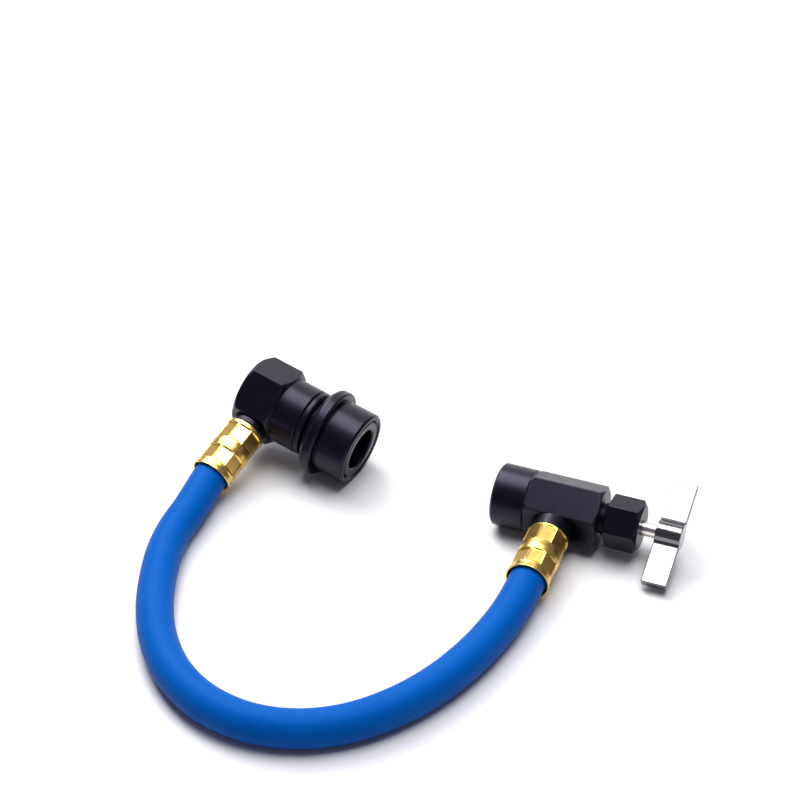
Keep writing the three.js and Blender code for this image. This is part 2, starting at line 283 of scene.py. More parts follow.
# Finishes
def black_anodised():
    material, tree, shader = new_material("black_anodised")
    tint = blend(tree, noise(tree, 90), (0.0013, 0.0011, 0.0026, 1), (0.0028, 0.0023, 0.0052, 1))
    # Painted highlight: sharp convex edges lightened towards the lit lilac grey, broken up in noise
    # patches
    edge_highlight = spread(tree, attribute(tree, "edge"), 0.0, 0.4, 0.2, 0.95)
    patchy_highlight = node(tree, "ShaderNodeMath", Value=edge_highlight)
    patchy_highlight.operation = "MULTIPLY"
    tree.links.new(spread(tree, noise(tree, 420), 0.35, 1.0, 0.35, 0.65), patchy_highlight.inputs[1])
    colour = blend(tree, patchy_highlight.outputs[0], tint, (0.050, 0.045, 0.066, 1))
    put(tree, shader.inputs["Base Color"], colour)
    put(tree, shader.inputs["Roughness"], spread(tree, noise(tree, 260, 3), 0.26, 0.40))
    shader.inputs["Specular IOR Level"].default_value = 0.30
    shader.inputs["Specular Tint"].default_value = (0.74, 0.68, 1.0, 1)
    grain = bump(tree, noise(tree, 5200, 2), 0.10, 0.00004)
    lines = bump(tree, turning_marks(tree, 5200), 0.16, 0.00004, grain)
    tree.links.new(lines, shader.inputs["Normal"])
    return material


def polished_brass():
    material, tree, shader = new_material("polished_brass")
    shader.inputs["Metallic"].default_value = 1.0
    tone = blend(tree, noise(tree, 160, 3), (0.90, 0.57, 0.12, 1), (0.95, 0.66, 0.19, 1))
    # Painted shade: concave creases darkened towards orange brown
    crease_shade = spread(tree, attribute(tree, "crease_shade"), 0.0, 0.75, 0.03, 0.5)
    put(tree, shader.inputs["Base Color"], blend(tree, crease_shade, tone, (0.30, 0.14, 0.02, 1)))
    put(tree, shader.inputs["Roughness"], spread(tree, noise(tree, 380, 3), 0.24, 0.36))
    scuffs = bump(tree, noise(tree, 900, 3), 0.22, 0.0001)
    lines = bump(tree, turning_marks(tree, 3200), 0.12, 0.00005, scuffs)
    tree.links.new(lines, shader.inputs["Normal"])
    return material


def hose_rubber():
    material, tree, shader = new_material("hose_rubber")
    streaks = noise(tree, 9, 3, (14.0, 40.0, 1.0), "UV")
    tone = blend(tree, streaks, (0.000, 0.066, 0.310, 1), (0.000, 0.084, 0.360, 1))
    mottle = spread(tree, noise(tree, 150, 4), 0.0, 0.35, 0.35, 0.75)
    put(tree, shader.inputs["Base Color"], blend(tree, mottle, tone, (0.000, 0.075, 0.335, 1)))
    put(tree, shader.inputs["Roughness"], spread(tree, noise(tree, 240, 3), 0.46, 0.60))
    shader.inputs["Specular IOR Level"].default_value = 0.10
    shader.inputs["Specular Tint"].default_value = (0.20, 0.50, 1.0, 1)
    fine = bump(tree, noise(tree, 2600, 3), 0.25, 0.00008)
    wavy = bump(tree, noise(tree, 130, 2), 0.30, 0.0003, fine)
    tree.links.new(wavy, shader.inputs["Normal"])
    return material


def seal_rubber():
    material, tree, shader = new_material("seal_rubber")
    tone = blend(tree, noise(tree, 500, 3), (0.010, 0.010, 0.011, 1), (0.022, 0.022, 0.024, 1))
    put(tree, shader.inputs["Base Color"], tone)
    put(tree, shader.inputs["Roughness"], spread(tree, noise(tree, 900), 0.55, 0.75))
    grain = bump(tree, noise(tree, 4200), 0.2, 0.00005)
    tree.links.new(grain, shader.inputs["Normal"])
    return material


def turned_steel():
    material, tree, shader = new_material("turned_steel")
    shader.inputs["Metallic"].default_value = 1.0
    tone = blend(tree, noise(tree, 240), (0.72, 0.68, 0.58, 1), (0.84, 0.81, 0.74, 1))
    put(tree, shader.inputs["Base Color"], tone)
    put(tree, shader.inputs["Roughness"], spread(tree, noise(tree, 600, 3), 0.16, 0.28))
    lines = bump(tree, turning_marks(tree, 6200), 0.2, 0.00005)
    tree.links.new(lines, shader.inputs["Normal"])
    return material


def plated_chrome():
    material, tree, shader = new_material("plated_chrome")
    shader.inputs["Metallic"].default_value = 1.0
    tone = blend(tree, noise(tree, 180, 3), (0.74, 0.74, 0.74, 1), (0.84, 0.84, 0.84, 1))
    # Painted dark reflection: sharp convex edges darkened towards near black
    edge_dark_reflection = spread(tree, attribute(tree, "edge"), 0.0, 0.85, 0.1, 0.4)
    put(tree, shader.inputs["Base Color"], blend(tree, edge_dark_reflection, tone, (0.10, 0.10, 0.11, 1)))
    put(tree, shader.inputs["Roughness"], spread(tree, noise(tree, 420, 4), 0.10, 0.22))
    waves = bump(tree, noise(tree, 320, 2), 0.10, 0.0002)
    scratches = bump(tree, noise(tree, 900, 3, (1.0, 9.0, 9.0)), 0.08, 0.00004, waves)
    tree.links.new(scratches, shader.inputs["Normal"])
    return material


def floor_paper():
    material, tree, shader = new_material("floor_paper")
    tone = blend(tree, noise(tree, 30, 2), (0.635, 0.635, 0.65, 1), (0.655, 0.655, 0.67, 1))
    put(tree, shader.inputs["Base Color"], tone)
    shader.inputs["Roughness"].default_value = 0.9
    shader.inputs["Specular IOR Level"].default_value = 0.1
    return material


BLACK = black_anodised()
BRASS = polished_brass()
BLUE = hose_rubber()
RUBBER = seal_rubber()
STEEL = turned_steel()
CHROME = plated_chrome()


# Turned pieces: a profile of (radius, along, fillet, step) turned about local Z
DEFAULT_FILLET = 0.08
ARC_STEP = math.radians(18)


def rounded_corner(before, here, after, fillet):
    to_before = before - here
    to_after = after - here
    back, ahead = to_before.normalized(), to_after.normalized()
    half = back.angle(ahead) / 2
    if half > math.radians(88):
        return [here]
    reach = min(fillet / math.tan(half), 0.42 * to_before.length, 0.42 * to_after.length)
    radius = reach * math.tan(half)
    centre = here + (back + ahead).normalized() * (radius / math.sin(half))
    first, last = here + back * reach - centre, here + ahead * reach - centre
    sweep = math.pi - 2 * half
    count = max(2, math.ceil(sweep / ARC_STEP))
    arc = []
    for i in range(count + 1):
        t = i / count
        share = first * math.sin((1 - t) * sweep) + last * math.sin(t * sweep)
        arc.append(centre + share / math.sin(sweep))
    hold_back = min(0.04, 0.06 * to_before.length)
    hold_ahead = min(0.04, 0.06 * to_after.length)
    return [here + back * (reach + hold_back), *arc, here + ahead * (reach + hold_ahead)]


def soften(profile, closed):
    points = [Vector(p[:2]) for p in profile]
    count = len(points)
    line = []
    for i, p in enumerate(profile):
        fillet = p[2] if len(p) > 2 else DEFAULT_FILLET
        step = p[3] if len(p) > 3 else None
        at_end = not closed and i in (0, count - 1)
        if at_end or fillet == 0:
            line.append((points[i], step))
            continue
        corner = rounded_corner(points[i - 1], points[i], points[(i + 1) % count], fillet)
        line += [(q, None) for q in corner[:-1]] + [(corner[-1], step)]
    dense = []
    for i, (here, step) in enumerate(line):
        dense.append(here)
        after = line[(i + 1) % len(line)][0]
        if step and (closed or i + 1 < len(line)):
            parts = max(1, math.ceil((after - here).length / step))
            dense += [here.lerp(after, k / parts) for k in range(1, parts)]
    return dense


def even_angles(count):
    return [2 * math.pi * i / count for i in range(count)]


# Angles crowded round the corners of a regular outline, with a flat at 90 degrees plus roll
def corner_angles(sides, roll, between=9):
    half = 180 / sides
    crowd = [0.0, 0.35, 0.7, 1.1, 1.6, 2.4]
    rest = [2.4 + (half - 2.4) * i / between for i in range(1, between + 1)]
    offsets = crowd + rest
    found = []
    for i in range(sides):
        corner = 90 + roll + half + 2 * half * i
        found += [corner + o for o in offsets] + [corner - o for o in offsets[1:-1]]
    return sorted(math.radians(a % 360) for a in found)


def mesh_object(name, vertices, faces, material):
    mesh = bpy.data.meshes.new(name)
    mesh.from_pydata(vertices, [], faces)
    mesh.materials.append(material)
    mesh.update()
    piece = bpy.data.objects.new(name, mesh)
    bpy.context.scene.collection.objects.link(piece)
    return piece


def strip(first, second):
    if len(first) == 1:
        ring = second
        return [(first[0], ring[(k + 1) % len(ring)], ring[k]) for k in range(len(ring))]
    if len(second) == 1:
        ring = first
        return [(ring[k], ring[(k + 1) % len(ring)], second[0]) for k in range(len(ring))]
    count = len(first)
    return [
        (first[k], first[(k + 1) % count], second[(k + 1) % count], second[k])
        for k in range(count)
    ]


def turned(name, profile, material, closed=True, angles=None):
    line = soften(profile, closed)
    area = sum(a.x * b.y - b.x * a.y for a, b in zip(line, line[1:] + line[:1]))
    if area < 0:
        line.reverse()
    angles = angles or even_angles(128)
    vertices, rings = [], []
    for p in line:
        start = len(vertices)
        if p.x < 1e-6:
            vertices.append((0, 0, p.y * MM))
        else:
            vertices += [(p.x * math.cos(a) * MM, p.x * math.sin(a) * MM, p.y * MM) for a in angles]
        rings.append(range(start, len(vertices)))
    pairs = list(zip(rings, rings[1:]))
    if closed:
        pairs.append((rings[-1], rings[0]))
    faces = [f for a, b in pairs for f in strip(a, b)]
    return mesh_object(name, vertices, faces, material)


# Geometry Nodes that reshape a turned piece
def new_tree(name, sizes):
    tree = bpy.data.node_groups.new(name, "GeometryNodeTree")
    face = tree.interface
    face.new_socket("Geometry", in_out="INPUT", socket_type="NodeSocketGeometry")
    for label in sizes:
        face.new_socket(label, in_out="INPUT", socket_type="NodeSocketFloat")
    face.new_socket("Finish", in_out="INPUT", socket_type="NodeSocketMaterial")
    face.new_socket("Geometry", in_out="OUTPUT", socket_type="NodeSocketGeometry")
    return tree, tree.nodes.new("NodeGroupInput")


def calc(tree, operation, *values, clamp=False):
    made = tree.nodes.new("ShaderNodeMath")
    made.operation = operation
    made.use_clamp = clamp
    for socket, value in zip(made.inputs, values):
        put(tree, socket, value)
    return made.outputs[0]


def polar(tree):
    place = tree.nodes.new("GeometryNodeInputPosition").outputs[0]
    parts = node(tree, "ShaderNodeSeparateXYZ", Vector=place)
    x, y, z = parts.outputs
    squares = calc(tree, "ADD", calc(tree, "MULTIPLY", x, x), calc(tree, "MULTIPLY", y, y))
    return x, y, z, calc(tree, "SQRT", squares), calc(tree, "ARCTAN2", y, x)


def end_with_radius(tree, enter, x, y, z, radius, wanted):
    scale = calc(tree, "DIVIDE", wanted, calc(tree, "MAXIMUM", radius, 1e-7))
    moved = node(tree, "ShaderNodeCombineXYZ", X=calc(tree, "MULTIPLY", x, scale),
                 Y=calc(tree, "MULTIPLY", y, scale), Z=z)
    shaped = node(tree, "GeometryNodeSetPosition", Geometry=enter.outputs["Geometry"],
                  Position=moved.outputs[0])
    real = node(tree, "GeometryNodeRealizeInstances", Geometry=shaped.outputs[0])
    dressed = node(tree, "GeometryNodeSetMaterial", Geometry=real.outputs[0],
                   Material=enter.outputs["Finish"])
    leave = tree.nodes.new("NodeGroupOutput")
    tree.links.new(dressed.outputs[0], leave.inputs[0])


# How far inside the stretch from Start to End a point lies, from 0 to 1 over Ramp
def inside_stretch(tree, enter, z):
    from_start = calc(tree, "SUBTRACT", z, enter.outputs["Start"])
    to_end = calc(tree, "SUBTRACT", enter.outputs["End"], z)
    ramp = enter.outputs["Ramp"]
    return calc(tree, "MULTIPLY", calc(tree, "DIVIDE", from_start, ramp, clamp=True),
                calc(tree, "DIVIDE", to_end, ramp, clamp=True))


def flats_tree():
    sizes = ["Sides", "Across Flats", "Roll", "Start", "End", "Ramp", "Corner", "Edge", "Ridge"]
    tree, enter = new_tree("across_flats", sizes)
    size = enter.outputs
    x, y, z, radius, angle = polar(tree)
    half = calc(tree, "DIVIDE", math.pi, size["Sides"])
    turned_by = calc(tree, "SUBTRACT", angle, size["Roll"])
    wrapped = calc(tree, "WRAP", turned_by, half, calc(tree, "MULTIPLY", half, -1.0))
    from_flat = calc(tree, "ABSOLUTE", wrapped)
    apothem = calc(tree, "MULTIPLY", size["Across Flats"], 0.5)
    this_flat = calc(tree, "DIVIDE", apothem, calc(tree, "COSINE", from_flat))
    to_next = calc(tree, "SUBTRACT", calc(tree, "MULTIPLY", half, 2.0), from_flat)
    next_flat = calc(tree, "DIVIDE", apothem, calc(tree, "COSINE", to_next))
    outline = calc(tree, "SMOOTH_MIN", this_flat, next_flat, size["Corner"])
    cut = calc(tree, "SMOOTH_MIN", radius, outline, size["Edge"])
    to_corner = calc(tree, "SUBTRACT", half, from_flat)
    near = calc(tree, "SUBTRACT", 1.0, calc(tree, "DIVIDE", to_corner, 0.07), clamp=True)
    outer = calc(tree, "GREATER_THAN", radius, apothem)
    fin = calc(tree, "MULTIPLY", calc(tree, "MULTIPLY", near, near),
               calc(tree, "MULTIPLY", outer, size["Ridge"]))
    change = calc(tree, "SUBTRACT", calc(tree, "ADD", cut, fin), radius)
    share = inside_stretch(tree, enter, z)
    wanted = calc(tree, "ADD", radius, calc(tree, "MULTIPLY", change, share))
    end_with_radius(tree, enter, x, y, z, radius, wanted)
    return tree


def thread_tree():
    sizes = ["Pitch", "Depth", "Crest", "Start", "End", "Ramp"]
    tree, enter = new_tree("screw_thread", sizes)
    size = enter.outputs
    x, y, z, radius, angle = polar(tree)
    turns = calc(tree, "DIVIDE", z, size["Pitch"])
    part_turn = calc(tree, "DIVIDE", angle, 2 * math.pi)
    phase = calc(tree, "FRACT", calc(tree, "SUBTRACT", turns, part_turn))
    saw = calc(tree, "ABSOLUTE", calc(tree, "SUBTRACT", calc(tree, "MULTIPLY", phase, 2.0), 1.0))
    flank = calc(tree, "MULTIPLY_ADD", saw, 1.4, -0.2, clamp=True)
    off_crest = calc(tree, "ABSOLUTE", calc(tree, "SUBTRACT", radius, size["Crest"]))
    on_crest = calc(tree, "LESS_THAN", off_crest, 0.00005)
    share = calc(tree, "MULTIPLY", on_crest, inside_stretch(tree, enter, z))
    cut = calc(tree, "MULTIPLY", calc(tree, "MULTIPLY", flank, share), size["Depth"])
    end_with_radius(tree, enter, x, y, z, radius, calc(tree, "SUBTRACT", radius, cut))
    return tree


FLATS = flats_tree()
THREAD = thread_tree()


def settle(piece):
    evaluated = piece.evaluated_get(bpy.context.evaluated_depsgraph_get())
    mesh = bpy.data.meshes.new_from_object(evaluated)
    piece.modifiers.clear()
    piece.data = mesh


def reshape(piece, tree, **sizes):
    modifier = piece.modifiers.new(tree.name, "NODES")
    modifier.node_group = tree
    values = {k.replace("_", " "): float(v) for k, v in sizes.items()}
    values["Finish"] = piece.data.materials[0]
    for item in tree.interface.items_tree:
        if item.in_out == "INPUT" and item.name in values:
            modifier[item.identifier] = values[item.name]
    settle(piece)


def cut_flats(piece, sides, across, start, end, roll=0, ramp=0.02, corner=0.25, edge=0.2, ridge=0):
    reshape(piece, FLATS, Sides=sides, Across_Flats=across * MM, Roll=math.radians(90 + roll),
            Start=start * MM, End=end * MM, Ramp=ramp * MM, Corner=corner * MM,
            Edge=edge * MM, Ridge=ridge * MM)


def cut_thread(piece, pitch, depth, crest, start, end):
    reshape(piece, THREAD, Pitch=pitch * MM, Depth=depth * MM, Crest=crest * MM,
            Start=start * MM, End=end * MM, Ramp=pitch * 0.5 * MM)


def drill_port(piece, radius, start, end):
    tool = turned("port_drill", [(0, start), (radius, start, 0), (radius, end, 0), (0, end)],
                  RUBBER, closed=False, angles=even_angles(48))
    tool.data.transform(TO_PORT)
    hole = piece.modifiers.new("port", "BOOLEAN")
    hole.operation = "DIFFERENCE"
    hole.solver = "EXACT"
    hole.object = tool
    bpy.context.view_layer.update()
    material = piece.data.materials[0]
    settle(piece)
    piece.data.materials.clear()
    piece.data.materials.append(material)
    for polygon in piece.data.polygons:
        polygon.material_index = 0
    bpy.data.objects.remove(tool)


# Stored on each point: how far along the axis it is, and how sharply it bulges or dips,
# where 1 stands for a radius of one sixth of a millimetre
SHARPEST = 3000


def mark_surface(piece):
    mesh = piece.data
    count = len(mesh.vertices)
    place = np.empty(count * 3)
    mesh.vertices.foreach_get("co", place)
    place = place.reshape(-1, 3)
    normal = np.empty(count * 3)
    mesh.vertex_normals.foreach_get("vector", normal)
    normal = normal.reshape(-1, 3)
    ends = np.empty(len(mesh.edges) * 2, int)
    mesh.edges.foreach_get("vertices", ends)
    a, b = ends.reshape(-1, 2).T
    between = place[a] - place[b]
    squared = np.maximum((between ** 2).sum(1), 1e-14)
    bend = np.zeros(count)
    np.maximum.at(bend, a, (between * normal[a]).sum(1) / squared)
    np.maximum.at(bend, b, -(between * normal[b]).sum(1) / squared)
    dip = np.zeros(count)
    np.maximum.at(dip, a, -(between * normal[a]).sum(1) / squared)
    np.maximum.at(dip, b, (between * normal[b]).sum(1) / squared)
    # The dip measure carries painted shade in creases; the bulge measure carries painted edge
    # highlights and dark edge reflections
    marks = {"edge": bend / SHARPEST, "crease_shade": dip / SHARPEST, "along": place[:, 2]}
    for name, values in marks.items():
        layer = mesh.attributes.new(name, "FLOAT", "POINT")
        layer.data.foreach_set("value", np.clip(values, -1, 1).astype(np.float32))


def fit(piece, place, node_name):
    mark_surface(piece)
    piece.data.transform(place)
    piece.data.shade_smooth()
    dress(piece, node_name)


def dress(piece, node_name):
    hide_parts(node_name)
    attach(piece, frame["nodes"][node_name]["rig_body"])


# Charging hose: one tube on a smooth line through both ferrules
def along_port(place, distance):
    return place @ Vector((0, distance * MM, 0))


def smooth_line(points, per_stretch):
    ends = [points[0] * 2 - points[1], *points, points[-1] * 2 - points[-2]]
    line = []
    for p0, p1, p2, p3 in zip(ends, ends[1:], ends[2:], ends[3:]):
        d0, d1, d2 = ((q - p).length ** 0.5 for p, q in ((p0, p1), (p1, p2), (p2, p3)))
        leave = ((p1 - p0) / d0 - (p2 - p0) / (d0 + d1) + (p2 - p1) / d1) * d1
        enter = ((p2 - p1) / d1 - (p3 - p1) / (d1 + d2) + (p3 - p2) / d2) * d1
        for i in range(per_stretch):
            t = i / per_stretch
            line.append(p1 + leave * t + (p2 * 3 - p1 * 3 - leave * 2 - enter) * t ** 2
                        + (p1 * 2 - p2 * 2 + leave + enter) * t ** 3)
    return [*line, points[-1]]


def hose_line():
    inner = FERRULE_START + HOSE_INSET
    stops = [inner, GRIP_END + GAP, FERRULE_END]
    points = [along_port(COUPLER, d) for d in stops]
    points += [Vector(p) for p in HOSE_ROUTE]
    points += [along_port(TAP, d) for d in reversed(stops)]
    line = smooth_line(points, HOSE_STEPS)
    for p in line:
        p.z = max(p.z, HOSE_R * MM)
    return line


def make_hose():
    line = hose_line()
    travelled = [0.0]
    for p, q in zip(line, line[1:]):
        travelled.append(travelled[-1] + (q - p).length)
    total = travelled[-1]
    grip = (GRIP_END - FERRULE_START - HOSE_INSET) * MM
    flare = HOSE_SWELL * MM
    vertices, outer, inner, reach = [], [], [], []
    for i, here in enumerate(line):
        tangent = (line[min(i + 1, len(line) - 1)] - line[max(i - 1, 0)]).normalized()
        side = tangent.cross(Vector((0, 0, 1))).normalized()
        up = side.cross(tangent)
        freed = (min(travelled[i], total - travelled[i]) - grip) / flare
        swell = min(1.0, max(0.0, freed))
        radius = SQUEEZED_R + (HOSE_R - SQUEEZED_R) * swell * swell * (3 - 2 * swell)
        for wall, ring in ((radius, outer), (HOSE_BORE_R, inner)):
            start = len(vertices)
            for k in range(HOSE_SIDES):
                a = 2 * math.pi * k / HOSE_SIDES
                vertices.append(here + (side * math.cos(a) + up * math.sin(a)) * wall * MM)
                reach.append((k / HOSE_SIDES, travelled[i]))
            ring.append(range(start, len(vertices)))
    faces = []
    for a, b in zip(outer, outer[1:]):
        faces += strip(b, a)
    for a, b in zip(inner, inner[1:]):
        faces += strip(a, b)
    faces += strip(outer[0], inner[0]) + strip(inner[-1], outer[-1])
    hose = mesh_object("charging_hose", vertices, faces, BLUE)
    wrap = hose.data.uv_layers.new(name="hose_wrap")
    for polygon in hose.data.polygons:
        across = [reach[v][0] for v in polygon.vertices]
        seam = max(across) - min(across) > 0.5
        for loop, vertex in zip(polygon.loop_indices, polygon.vertices):
            u, v = reach[vertex]
            wrap.data[loop].uv = (u + 1 if seam and u < 0.5 else u, v)
    hose.data.shade_smooth()
    dress(hose, "hose")


make_hose()


# Ferrules: turned shell, flared lip, eight pressed flats in two rows
def make_ferrule(name, node_name, place, first_row, roll):
    inner = SQUEEZED_R + GAP
    row_step = 0.16
    bottom = FERRULE_START + FERRULE_BOTTOM
    hole = NIPPLE_NECK_R + GAP
    profile = [
        (hole, FERRULE_START), (FERRULE_R - 0.1, FERRULE_START, 0.5),
        (FERRULE_R, 16.3, 0, row_step),
        (FERRULE_R, 24.6, 0), (FERRULE_R + 0.1, 25.3, 0), (FERRULE_R + 0.15, 26.2, 0),
        (FERRULE_R + 0.1, 27.1, 0), (FERRULE_R, 27.8, 0, row_step), (FERRULE_R, 34.9, 0),
        (FERRULE_R - 0.03, 35.5, 0.6), (7.55, 36.9, 0.8), (7.65, FERRULE_END, 0.22),
        (7.12, FERRULE_END, 0.15), (LIP_GROOVE_R, 36.4, 0.3), (LIP_GROOVE_R, GRIP_END),
        (inner, GRIP_END), (inner, bottom), (hole, bottom),
    ]
    shell = turned(name, profile, BRASS, angles=corner_angles(CRIMP_SIDES, roll, 7))
    for start, end in (first_row, LAST_CRIMP):
        cut_flats(shell, CRIMP_SIDES, CRIMP_FLATS, start, end, roll,
                  ramp=0.45, corner=0.12, edge=0.1, ridge=0.14)
    fit(shell, place, node_name)


make_ferrule("coupler_crimp_shell", "coupler_ferrule", COUPLER_PORT,
             COUPLER_FIRST_CRIMP, COUPLER_CRIMP_ROLL)
make_ferrule("tap_crimp_shell", "tap_ferrule", TAP_PORT, TAP_FIRST_CRIMP, TAP_CRIMP_ROLL)


# Hose nipples: shank, collar against the block, neck and barb
def make_nipple(name, node_name, place, shank_start, face_at):
    collar_end = FERRULE_START - GAP
    profile = [
        (NIPPLE_BORE_R, shank_start), (SHANK_R, shank_start), (SHANK_R, face_at + GAP),
        (COLLAR_R, face_at + GAP, 0.25), (COLLAR_R, collar_end, 0.3),
        (NIPPLE_NECK_R, collar_end), (NIPPLE_NECK_R, FERRULE_START + 1.6),
        (BARB_R, FERRULE_START + 1.6), (BARB_R, GRIP_END - 0.6),
        (BARB_R - 0.5, GRIP_END), (NIPPLE_BORE_R, GRIP_END),
    ]
    fit(turned(name, profile, BLACK), place, node_name)


make_nipple("coupler_hose_tail", "coupler_nipple", COUPLER_PORT,
            COUPLER_SHANK_START, COUPLER_FLATS / 2)
make_nipple("tap_hose_tail", "tap_nipple", TAP_PORT, TAP_SHANK_START, TAP_FLATS / 2)


# Quick coupler
def make_coupler_block():
    corner = COUPLER_FLATS / math.sqrt(3) + 0.1
    tail_hole = CORE_TAIL_R + GAP
    passage = CORE_PASSAGE_R + 0.2
    profile = [
        (0, BLOCK_BACK), (BLOCK_FACE_R, BLOCK_BACK, 0.2, 0.12),
        (corner, BLOCK_BACK + 1.9, 0), (corner, BLOCK_FRONT - 1.5, 0, 0.12),
        (BLOCK_FACE_R, BLOCK_FRONT, 0.2), (COUPLER_NECK_R, BLOCK_FRONT, 0.2),
        (COUPLER_NECK_R, COUPLER_NECK_END - 0.4, 0.12),
        (COUPLER_NECK_R - 0.35, COUPLER_NECK_END, 0.12),
        (tail_hole, COUPLER_NECK_END), (tail_hole, CORE_TAIL_START - GAP),
        (passage, CORE_TAIL_START - GAP), (passage, -3), (0, -3),
    ]
    block = turned("hex_block", profile, BLACK, closed=False, angles=corner_angles(6, 0))
    cut_flats(block, 6, COUPLER_FLATS, BLOCK_BACK - 0.1, BLOCK_FRONT + 0.1, corner=0.45, edge=0.28)
    drill_port(block, SHANK_R + GAP, COUPLER_SHANK_START - GAP, COUPLER_FLATS)
    fit(block, COUPLER, "coupler_block")


def make_coupler_core():
    ring_start = COUPLER_NECK_END + GAP
    profile = [
        (CORE_PASSAGE_R, CORE_TAIL_START), (CORE_TAIL_R, CORE_TAIL_START),
        (CORE_TAIL_R, ring_start), (RING_R - 0.25, ring_start, 0.12),
        (RING_R, ring_start + 0.25, 0.12), (RING_R, 19.0, 0.5), (RING_R - 0.3, 19.6, 0.4),
        (RING_R - 1, RING_END, 0.2), (TUBE_R, RING_END, 0.2), (TUBE_R, LAND_START),
        (LAND_R, LAND_START), (LAND_R, LAND_FACE - 0.4, 0.12), (LAND_R - 0.4, LAND_FACE, 0.12),
        (PORT_BORE_R + 0.5, LAND_FACE, 0.12), (PORT_BORE_R, LAND_FACE - 0.5, 0.12),
        (PORT_BORE_R, PORT_BORE_START), (GUIDE_BORE_R, PORT_BORE_START),
        (GUIDE_BORE_R, GUIDE_BORE_START), (CORE_PASSAGE_R, GUIDE_BORE_START),
    ]
    fit(turned("core_tube", profile, BLACK), COUPLER, "coupler_core")


def make_coupler_sleeve():
    slides_on = TUBE_R + GAP
    clears_land = LAND_R + GAP
    profile = [
        (slides_on, FLANGE_START, 0.15), (14.6, FLANGE_START + 0.1, 1.2),
        (FLANGE_R, 23.6, 1.2), (FLANGE_R, FLANGE_END, 0.9), (BARREL_R - 0.5, FLANGE_END, 0.15),
        (BARREL_R - 0.5, 27.7, 0.15), (BARREL_R, 28.0, 0.2), (BARREL_R, MOUTH - 0.8, 0.3),
        (BARREL_R - 0.7, MOUTH, 0.15), (12.0, MOUTH, 0.12), (clears_land, MOUTH - 0.9, 0.12),
        (clears_land, LAND_START - GAP), (slides_on, LAND_START - GAP),
    ]
    fit(turned("sliding_sleeve", profile, BLACK), COUPLER, "coupler_sleeve")


def make_coupler_seal():
    r, z = SEAL_PLACE
    ring = [
        (r + SEAL_R * math.cos(a), z + SEAL_R * math.sin(a), 0) for a in even_angles(20)
    ]
    fit(turned("bore_seal", ring, RUBBER), COUPLER, "coupler_seal")


def make_depressor():
    profile = [
        (0, 9), (1.4, 9), (1.4, 20.3), (4.5, 20.3, 0.2), (4.5, 22.3, 0.2), (1.6, 22.3),
        (1.6, 30.4, 0.15), (1.1, 31, 0.15), (0, 31),
    ]
    pin = turned("depressor_pin", profile, STEEL, closed=False, angles=even_angles(64))
    fit(pin, COUPLER, "core_depressor")


make_coupler_block()
make_coupler_core()
make_coupler_sleeve()
make_coupler_seal()
make_depressor()


# Can tap
def make_tap_body():
    corner = TAP_FLATS / math.sqrt(3) + 0.1
    bottom = SOCKET_END + SOCKET_DEPTH
    profile = [
        (SOCKET_R - 0.9, SOCKET_END, 0.25), (SOCKET_R, SOCKET_END + 0.8, 0.3),
        (SOCKET_R, TAP_BACK - 0.3, 0), (SOCKET_R, TAP_BACK - 0.02, 0),
        (SOCKET_R, TAP_BACK + 0.02, 0, 0.1), (corner, TAP_BACK + 1.6, 0),
        (corner, TAP_FRONT - 1.1, 0, 0.1), (10.06, TAP_FRONT, 0.2), (5.3, TAP_FRONT),
        (5.3, 15.1), (TAP_NECK_R, 15.4, 0, 0.12), (TAP_NECK_R, TAP_NECK_END, 0.1),
        (STEM_HOLE_R, TAP_NECK_END), (STEM_HOLE_R, -7), (1.6, -7), (1.6, bottom),
        (SOCKET_BORE_R, bottom, 0, 0.13), (SOCKET_BORE_R, SOCKET_END + 0.8, 0),
        (SOCKET_BORE_R + 0.8, SOCKET_END, 0.12),
    ]
    body = turned("valve_body", profile, BLACK, angles=corner_angles(6, 0))
    cut_flats(body, 6, TAP_FLATS, TAP_BACK, TAP_FRONT + 0.1, ramp=0.01, corner=0.45, edge=0.28)
    cut_thread(body, 1.25, 0.45, TAP_NECK_R, 15.3, TAP_NECK_END + 0.1)
    cut_thread(body, 1.6, -0.6, SOCKET_BORE_R, SOCKET_END + 0.7, bottom - 0.6)
    drill_port(body, SHANK_R + GAP, TAP_SHANK_START - GAP, TAP_FLATS)
    fit(body, TAP, "tap_body")


def make_can_seal():
    back = SOCKET_END + SOCKET_DEPTH - GAP
    front = back - 2
    rim = SOCKET_BORE_R - GAP
    profile = [(2.6, front, 0.3), (rim, front, 0.3), (rim, back), (2.6, back)]
    fit(turned("can_washer", profile, RUBBER), TAP, "can_seal")


def make_packing_nut():
    corner = NUT_FLATS / math.sqrt(3)
    profile = [
        (NUT_BORE_R, NUT_START), (corner - 0.5, NUT_START, 0.15, 0.1),
        (corner + 0.1, NUT_START + 0.4, 0), (corner + 0.1, NUT_END - 1.3, 0, 0.1),
        (corner - 1.9, NUT_END, 0.25), (STEM_HOLE_R, NUT_END), (STEM_HOLE_R, NUT_BORE_END),
        (NUT_BORE_R, NUT_BORE_END),
    ]
    nut = turned("gland_nut", profile, BLACK, angles=corner_angles(6, NUT_ROLL))
    cut_flats(nut, 6, NUT_FLATS, NUT_START - 0.05, NUT_END + 0.05, NUT_ROLL, corner=0.4, edge=0.25)
    fit(nut, TAP, "packing_nut")


def make_packing():
    outer, end = NUT_BORE_R - GAP, NUT_BORE_END - GAP
    profile = [
        (STEM_HOLE_R, PACKING_START), (outer, PACKING_START), (outer, end), (STEM_HOLE_R, end),
    ]
    fit(turned("gland_packing", profile, RUBBER), TAP, "stem_packing")


